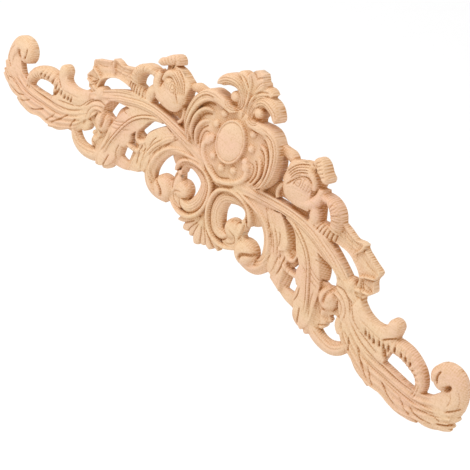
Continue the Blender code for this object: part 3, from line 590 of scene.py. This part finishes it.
strip([(247, -106, 9, 7.5), (253, -110.5, 7, 7), (257.5, -113.6, 2.5, 6.5)], drop=2)
cut([(176, -70), (190, -79), (205, -84), (222, -86.5), (245, -88), (262, -86)], 2.2, 1.3)
side_lines([(198, -88), (215, -91.5), (235, -92.5), (262, -93), (285, -87)], (0, -2.6), 1.6, 0.8)
side_lines([(222, -96), (245, -98.5), (268, -97.5), (290, -89)], (0,), 1.6, 0.9)
cut([(182, -84), (185, -90), (187, -97)], 2.2, 1.6)
cut([(193, -86), (200, -94), (207, -101), (214, -107)], 2.4, 1.8)
cut([(209, -94), (215, -102), (221, -109)], 2, 1.3)
cut([(226, -98), (236, -105), (246, -109)], 2.1, 1.7)
cut([(246, -98), (254, -105), (263, -109)], 1.8, 1.1)
cut([(258, -101), (268, -104), (282, -101)], 1.8, 1.5)
cut([(287, -84), (292, -79), (297, -73)], 2.2, 1.8)
cut([(284, -99), (291, -95), (298, -90)], 2.4, 2)
cut([(276, -96), (282, -94), (287, -95)], 1.8, 1.5)
made("feathered wing")

# %% [markdown]
# The top edge dips in an even arc from the knot to a small stub. Short ribs cross the hollow
# below it.

# %% Shoulder arc and stub
between([(176, -47), (182, -52), (187, -55), (193, -57), (200, -57.5), (206, -55.5), (210, -50)],
        [(172, -62), (182, -68), (194, -71), (206, -71.5), (216, -70.5), (222, -67)], (9.5, 9.5),
        rise=1.5)
between([(176, -62), (190, -66), (206, -68), (222, -70)],
        [(176, -74), (190, -82), (206, -86), (219.5, -86)], 9.0)
strip([(212, -68, 11, 9.5), (214.5, -58, 14, 10.5), (215, -51, 14, 11)], drop=4.5)
knob(215, -49.5, 6.8, 11.0)
cut([(211, -65.5), (216, -61), (222.5, -56)], 2.4, 2.2, 0.1)
for x, z, length in ((194, -68, 5), (198.5, -69, 4), (203.5, -69.5, 5), (209, -68, 5),
                     (213.5, -68, 5), (218, -66, 6), (224, -64, 5), (231, -64, 4),
                     (236, -64.5, 4), (241.5, -66, 3)):
    cut([(x, z), (x + 0.8, z - length / 2), (x + 1.5, z - length)], 3, 3.6, 0.3)
    cut([(x - 1.5, z + 4), (x, z), (x + 1.5, z - length)], 1.8, 0.9, 0.3)
cut([(216, -72), (218, -76), (221, -79)], 5, 4, 0.3)
cut([(188, -73), (200, -76.5), (212, -80)], 1.8, 1.2)
cut([(184, -62), (198, -64.5), (210, -66)], 1.5, 0.7)
made("shoulder arc and stub")

# %% [markdown]
# A ribbed horn arches over the long opening and comes down on the wing.

# %% Ribbed horn
strip([(208, -70, 8, 8.5), (220, -65.5, 14, 10), (232, -64, 14.4, 11), (244, -67.4, 14, 10.5),
       (253.5, -73.5, 12.5, 9.5), (258, -83, 11, 9), (257, -92, 8, 8)], drop=6, rings=14,
      ring_depth=0.8)
for k in range(7):
    a = math.radians(78 - 13 * k)
    cut([(235 + 13 * math.cos(a), -84 + 12 * math.sin(a)),
         (235 + 21 * math.cos(a), -84 + 18 * math.sin(a))], 2, 1.2, 0.3)
side_lines([(256, -80), (256.5, -86), (256, -93)], (-1.3, 1.3), 1.4, 1)
made("ribbed horn")

# %% [markdown]
# A big curl closes each end of the board, with a small eye drilled deep.

# %% End volute
strip([(285, -88, 22, 8), (289, -77, 20, 8.5), (287.5, -65.5, 20, 9.5), (280, -57, 22, 10.5),
       (270.2, -56.5, 17.6, 11.5), (265.8, -61.5, 11.5, 11.5), (266.5, -67, 7.5, 10)], drop=4.5,
      kind="arch")
knob(272.5, -62, 10.0, 11.0)
between([(268, -83), (275, -73), (278, -66)], [(284, -92), (290, -84), (294, -74)], 7.5, rise=1.0)
cut([(276.5, -67), (279.5, -65), (281.5, -61.5)], 6.4, 6, 0.5)
cut([(269, -54), (268, -60), (270.5, -66)], 2.6, 2.4)
side_lines([(285, -62), (290, -70), (290, -80)], (-4, 4), 1.5, 0.7)
made("end volute")

# %% [markdown]
# A small shell of three lobes on each side closes the foot of the design.

# %% Small palmette
strip([(0, -78, 8, 8), (0, -92, 12, 8.5), (0, -104, 14, 7.5), (0, -111.5, 6, 6)], drop=4)
strip([(6, -84, 6, 7.5), (10.5, -96, 10, 7.5), (15.5, -103, 9.5, 6.5), (18, -106.3, 4, 6)], drop=2)
strip([(5, -94, 6, 7), (7.5, -103, 8.5, 6.5), (8.5, -107.5, 4, 6)], drop=2)
strip([(14, -88, 5, 7.5), (21, -96.5, 8, 7), (25, -100.5, 5, 6), (27, -102, 2, 6)], drop=2)
between([(-2, -44), (-2, -60), (-2, -80)], [(4, -44), (4, -60), (8, -84)], 6.0)
for x, z in ((5, -109), (12, -106), (21, -103)):
    cut([(x * 0.35, -90), (x * 0.8, -99), (x, z)], 1.7, 1.4)
made("small palmette")

# %% [markdown]
# The lofts overlap like lumps of clay. A voxel remesh turns the whole heap into one skin and
# rounds every joint a little, which sandpaper also does. The mirror comes first, so that
# both halves meet without a seam.

# %% Fuse the forms
bmesh.ops.scale(carving, vec=(MM, MM, MM), verts=carving.verts)
mesh = bpy.data.meshes.new("carved_relief")
carving.to_mesh(mesh)
carving.free()
relief = bpy.data.objects.new("carved_relief", mesh)
bpy.context.scene.collection.objects.link(relief)


def apply_all(piece):
    """Replace the mesh with what the modifiers make of it."""
    graph = bpy.context.evaluated_depsgraph_get()
    graph.update()
    shaped = bpy.data.meshes.new_from_object(piece.evaluated_get(graph))
    piece.modifiers.clear()
    old, piece.data = piece.data, shaped
    bpy.data.meshes.remove(old)


other_half = relief.modifiers.new("other_half", "MIRROR")
other_half.use_axis[0] = True
other_half.use_mirror_merge = False
fuse = relief.modifiers.new("fuse", "REMESH")
fuse.mode = "VOXEL"
fuse.voxel_size = VOXEL * MM
soften = relief.modifiers.new("soften", "SMOOTH")
soften.factor = 0.5
soften.iterations = 2
apply_all(relief)
print("fused skin:", len(relief.data.polygons), "faces")

# %% [markdown]
# Now the tool cuts go in. Only points that face the eye move, straight towards the back, by
# the depth that the map holds at their place. The round cutter of the machine works row by
# row, which leaves small steps on every slope, so sloping points also move in by a narrow
# notch at an even pitch. The back is then made flat, and nothing passes the board's box. A
# coarse grid of the highest wood in each square millimetre is kept for the next cells.

# %% Cut the lines and flatten the back
def numbers(data, field, width):
    """One field of every item, as rows of this width."""
    values = np.empty(len(data) * width, np.float32)
    data.foreach_get(field, values)
    return values.reshape(-1, width)


def looked_up(grid, x, z):
    """Value of a map at each place, smooth between its cells."""
    u = np.clip((x - MAP_X0) / MAP_STEP - 0.5, 0, grid.shape[1] - 2)
    v = np.clip((z - MAP_Z0) / MAP_STEP - 0.5, 0, grid.shape[0] - 2)
    j, i = u.astype(int), v.astype(int)
    a, b = u - j, v - i
    return ((grid[i, j] * (1 - a) + grid[i, j + 1] * a) * (1 - b)
            + (grid[i + 1, j] * (1 - a) + grid[i + 1, j + 1] * a) * b)


LEAST_WOOD = 0.6         # every cut leaves this much above the back
STEP_PITCH = 2.0
STEP_DEPTH = 0.13
BACK_BAND = 0.35         # points closer to the back than this belong to it
CELL = 1.0
FRONT_FROM, FRONT_BLEND = 0.15, 0.35  # a point that faces the front less takes no line
SLOPE_FROM, SLOPE_BLEND = 0.8, 0.4    # one that faces the front more takes no notch
BACK_TURN = -0.5                      # nor does one that faces back more than this
place = numbers(relief.data.vertices, "co", 3) / MM
turn = numbers(relief.data.vertices, "normal", 3)
facing = -turn[:, 1]
front = np.clip((facing - FRONT_FROM) / FRONT_BLEND, 0, 1)
deep = looked_up(cut_map, np.abs(place[:, 0]), place[:, 2]) * front
place[:, 1] = np.where(front > 0, np.minimum(place[:, 1] + deep, -LEAST_WOOD), place[:, 1])
on_slope = np.clip((SLOPE_FROM - facing) / SLOPE_BLEND, 0, 1) * (facing > BACK_TURN)
step_z = (1 - np.abs(np.sin(place[:, 2] * math.pi / STEP_PITCH)))**2 * np.abs(turn[:, 0])
step_x = (1 - np.abs(np.sin(place[:, 0] * math.pi / STEP_PITCH)))**2 * np.abs(turn[:, 2])
notch = STEP_DEPTH * on_slope * np.minimum(step_z + step_x, 1)
place[:, 0] -= turn[:, 0] * notch
place[:, 2] -= turn[:, 2] * notch
place[place[:, 1] > -BACK_BAND, 1] = 0.0
low, high = np.array(cad_box) / MM
place = np.clip(place, low, high)
relief.data.vertices.foreach_set("co", (place * MM).astype(np.float32).ravel())
relief.data.update()
level = np.zeros((int((high[2] - low[2]) / CELL) + 2, int((high[0] - low[0]) / CELL) + 2))
np.maximum.at(level, (((place[:, 2] - low[2]) / CELL).astype(int),
                      ((place[:, 0] - low[0]) / CELL).astype(int)), -place[:, 1])
print("deepest cut", round(float(deep.max()), 2), "mm; box now", place.min(0), place.max(0))

# %% [markdown]
# The dense skin holds far more triangles than the eye needs. Decimate keeps them where the
# surface bends and drops them on the flat back. It may push a point out by a hair, so the
# points are held to the board's box once more.

# %% Thin out the skin
relief.data.calc_loop_triangles()
thin = relief.modifiers.new("thin", "DECIMATE")
thin.ratio = min(1.0, TRIANGLES / len(relief.data.loop_triangles))
apply_all(relief)
inside = np.clip(numbers(relief.data.vertices, "co", 3), *np.array(cad_box))
relief.data.vertices.foreach_set("co", inside.astype(np.float32).ravel())
for face in relief.data.polygons:
    face.use_smooth = True
relief.data.calc_loop_triangles()
print("triangles:", len(relief.data.loop_triangles))

# %% [markdown]
# Raw wood looks darker and warmer where a recess keeps the light out, and the material paints
# this shade into the wood's colour. For every point this cell looks round in sixteen directions
# and notes how high the wood stands in the way, most of all on the side that the point faces.
# The sawn back has no recess. The result stays on the mesh for the material's painted shade,
# together with how far the surface turns to the side and up.

# %% Measure recesses and steepness
DIRECTIONS = 16
DISTANCES = (1.2, 2.5, 4.0, 6.0, 9.0, 13.0)
FRONT_SHARE = 0.35       # what a point that faces the eye sees of each direction
BACK_FROM = 0.5
place = numbers(relief.data.vertices, "co", 3) / MM
normal = numbers(relief.data.vertices, "normal", 3)
blocked, total = np.zeros(len(place)), np.full(len(place), 1e-6)
for k in range(DIRECTIONS):
    angle = 2 * math.pi * k / DIRECTIONS
    dx, dz = math.cos(angle), math.sin(angle)
    rise = np.zeros(len(place))
    for far in DISTANCES:
        rows = ((place[:, 2] + far * dz - low[2]) / CELL).clip(0, level.shape[0] - 1).astype(int)
        cols = ((place[:, 0] + far * dx - low[0]) / CELL).clip(0, level.shape[1] - 1).astype(int)
        rise = np.maximum(rise, (level[rows, cols] + place[:, 1]) / far)
    seen = FRONT_SHARE * np.abs(normal[:, 1])
    seen += np.clip(normal[:, 0] * dx + normal[:, 2] * dz, 0, 1)
    blocked += seen * rise**2 / (1 + rise**2)
    total += seen
open_front = normal[:, 1] < BACK_FROM
for name, values in (("recess", blocked / total * open_front),
                     ("faces_side", np.abs(normal[:, 0])),
                     ("faces_up", np.abs(normal[:, 2]))):
    layer = relief.data.attributes.new(name, "FLOAT", "POINT")
    layer.data.foreach_set("value", values.astype(np.float32))
    print(name, "quarters", np.percentile(values, (25, 50, 75, 95)).round(2))

# %% [markdown]
# The wood is a pale hardwood straight from the machine: no stain and no varnish. Its colour
# comes in layers: broad soft clouds between a pale and a rosy tone, fine streaks along the
# length and specks. Painted shade comes on top: a warm brown in every notch that the cutter
# left, and a deep brown in recesses, most of all where the notches lie in them.
# The bump adds the grain and the rows of small steps.

# %% Raw wood
PALE = (0.79, 0.575, 0.36, 1.0)
ROSE = (0.80, 0.505, 0.365, 1.0)
# warm brown of the grain streaks and specks, also used for the painted shade in the notches
GRAIN_AND_NOTCH_SHADE = (0.67, 0.415, 0.22, 1.0)
# painted shade: the deep brown that recesses are darkened towards
RECESS_SHADE_TONE = (0.49, 0.215, 0.06, 1.0)
# strengths of the painted shade in the notches and in the recesses
NOTCH_SHADE_TONE, NOTCH_SHADE, RECESS_SHADE = 0.2, 3.0, 0.85
NOTCH_HEIGHT = -0.35
SMOOTHEST, ROUGHER = 0.52, 0.2

wood = bpy.data.materials.new("raw_wood_carved")
wood.use_nodes = True
tree = wood.node_tree
shader = tree.nodes["Principled BSDF"]
shader.inputs["Metallic"].default_value = 0.0
shader.inputs["Specular IOR Level"].default_value = 0.5


def node(kind, **settings):
    """A new shader node with these settings."""
    made_node = tree.nodes.new("ShaderNode" + kind)
    for key, value in settings.items():
        setattr(made_node, key, value)
    return made_node


def feed(socket, value):
    """Link an output to a socket, or set a plain number on it."""
    if isinstance(value, bpy.types.NodeSocket):
        tree.links.new(value, socket)
    else:
        socket.default_value = value


def maths(operation, a, b=0.0, clamp=False):
    """One sum of two numbers or outputs."""
    one = node("Math", operation=operation, use_clamp=clamp)
    feed(one.inputs[0], a)
    feed(one.inputs[1], b)
    return one.outputs[0]


def above(noise, start, gain):
    """How far a noise stands above its start, made stronger and kept below 1."""
    return maths("MULTIPLY", maths("SUBTRACT", noise, start, True), gain, True)


def blended(share, a, b):
    """The colour that lies between a and b by this share."""
    mix = node("Mix", data_type="RGBA")
    feed(mix.inputs[0], share)
    feed(mix.inputs[6], a)
    feed(mix.inputs[7], b)
    return mix.outputs[2]


def stretched_noise(scale, detail, stretch):
    """Noise in the object's own space, drawn out along the grain."""
    mapping = node("Mapping")
    mapping.inputs["Scale"].default_value = stretch
    feed(mapping.inputs["Vector"], here.outputs["Object"])
    noise = node("TexNoise")
    noise.inputs["Scale"].default_value = scale
    noise.inputs["Detail"].default_value = detail
    feed(noise.inputs["Vector"], mapping.outputs["Vector"])
    return noise.outputs["Fac"]


here = node("TexCoord")
recess_shade_here = node("Attribute", attribute_name="recess").outputs["Fac"]
side_here = node("Attribute", attribute_name="faces_side").outputs["Fac"]
up_here = node("Attribute", attribute_name="faces_up").outputs["Fac"]
clouds = stretched_noise(14.0, 3.0, (1.0, 1.0, 2.0))
streaks = stretched_noise(90.0, 4.0, (1.0, 6.0, 9.0))
pores = stretched_noise(420.0, 2.0, (1.0, 8.0, 10.0))
specks = stretched_noise(650.0, 1.0, (1.0, 1.0, 1.0))
apart = node("SeparateXYZ")
feed(apart.inputs[0], here.outputs["Object"])


def notches(value):
    """Rows of notches at the cutter's pitch: 1 in a notch, 0 between."""
    wave = maths("ABSOLUTE", maths("SINE", maths("MULTIPLY", value, math.pi / (STEP_PITCH * MM))))
    return maths("POWER", maths("SUBTRACT", 1.0, wave), 1.5)


notch_z, notch_x = notches(apart.outputs["Z"]), notches(apart.outputs["X"])
notch = maths("ADD", maths("MULTIPLY", notch_z, maths("ADD", side_here, 0.2)),
              maths("MULTIPLY", notch_x, maths("ADD", up_here, 0.2)), True)
tone = blended(above(clouds, 0.3, 2.4), PALE, ROSE)
tone = blended(above(streaks, 0.45, 1.6), tone, GRAIN_AND_NOTCH_SHADE)
tone = blended(above(specks, 0.46, 2.6), tone, GRAIN_AND_NOTCH_SHADE)
# painted shade: every notch that the cutter left is darkened a little towards the warm brown
tone = blended(maths("MULTIPLY", notch, NOTCH_SHADE_TONE), tone, GRAIN_AND_NOTCH_SHADE)
# painted shade: recesses darken towards a deep brown, and the notches in them darken most
shade = maths("MULTIPLY", recess_shade_here,
              maths("ADD", maths("MULTIPLY", notch, NOTCH_SHADE), RECESS_SHADE), True)
tone = blended(shade, tone, RECESS_SHADE_TONE)
feed(shader.inputs["Base Color"], tone)
feed(shader.inputs["Roughness"], maths("ADD", maths("MULTIPLY", streaks, ROUGHER), SMOOTHEST))
marks = maths("MULTIPLY", maths("ADD", notch_z, notch_x), NOTCH_HEIGHT)
relief_of_grain = maths("ADD", maths("MULTIPLY", pores, 0.5), maths("MULTIPLY", specks, 0.5))
bump = node("Bump")
bump.inputs["Strength"].default_value = 0.7
bump.inputs["Distance"].default_value = 0.0005
feed(bump.inputs["Height"], maths("ADD", marks, relief_of_grain))
feed(shader.inputs["Normal"], bump.outputs["Normal"])
relief.data.materials.clear()
relief.data.materials.append(wood)
print("wood nodes:", len(tree.nodes))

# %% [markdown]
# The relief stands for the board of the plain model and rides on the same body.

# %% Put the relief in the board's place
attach(relief, "root")
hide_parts("carved_applique")

# %% [markdown]
# A pale floor lies far enough below that no shadow of the board shows on it. Soft light
# comes from the upper left, and an even glow all round.

# %% Studio
FLOOR_DROP, FLOOR_SIZE = 0.55, 14.0
bpy.ops.mesh.primitive_plane_add(size=FLOOR_SIZE, location=(0.0, 0.0, -FLOOR_DROP))
floor = bpy.context.active_object
floor.name = "pale_floor"
paper = bpy.data.materials.new("pale_paper")
paper.use_nodes = True
surface = paper.node_tree.nodes["Principled BSDF"]
surface.inputs["Base Color"].default_value = (0.95, 0.95, 0.95, 1)
surface.inputs["Roughness"].default_value = 0.9
floor.data.materials.append(paper)

world = bpy.data.worlds.new("studio")
bpy.context.scene.world = world
world.use_nodes = True
glow = world.node_tree.nodes["Background"]
glow.inputs["Color"].default_value = (1.0, 1.0, 1.0, 1)
glow.inputs["Strength"].default_value = 1.03
bpy.context.scene.view_settings.view_transform = "Standard"

# %% [markdown]
# The camera stands to the right, above and in front. Its place, turn and lens were fitted to
# the outline of the board in the photograph.

# %% Camera
# In metres, and three unit directions
EYE = (0.54321, -0.84770, 0.43792)
RIGHT = (0.69742, 0.62905, 0.34338)
DOWN = (0.55268, -0.16705, -0.81648)
AHEAD = (-0.45624, 0.75921, -0.46417)
SENSOR = 36.0
FOCAL_PIXELS, IMAGE_PIXELS = 1226.53, 470
camera_data = bpy.data.cameras.new("camera")
camera_data.sensor_width = SENSOR
camera_data.lens = SENSOR * FOCAL_PIXELS / IMAGE_PIXELS
camera = bpy.data.objects.new("camera", camera_data)
bpy.context.scene.collection.objects.link(camera)
axes = mathutils.Matrix([(r, -d, -a) for r, d, a in zip(RIGHT, DOWN, AHEAD)])
camera.matrix_world = mathutils.Matrix.Translation(EYE) @ axes.to_4x4()
bpy.context.scene.camera = camera


def soft_light(name, left, up, towards_eye, size, watts):
    """A square light placed as the camera sees it, aimed at the board."""
    across_view, up_view = mathutils.Vector(RIGHT), -mathutils.Vector(DOWN)
    spot = -across_view * left + up_view * up - mathutils.Vector(AHEAD) * towards_eye
    lamp_data = bpy.data.lights.new(name, "AREA")
    lamp_data.size = size
    lamp_data.energy = watts
    lamp = bpy.data.objects.new(name, lamp_data)
    lamp.location = spot
    lamp.rotation_euler = (-spot).to_track_quat("-Z", "Y").to_euler()
    bpy.context.scene.collection.objects.link(lamp)
    print(name, [round(v, 2) for v in spot])


soft_light("key_light", 0.5, 1.1, 0.6, 0.7, 7.5)
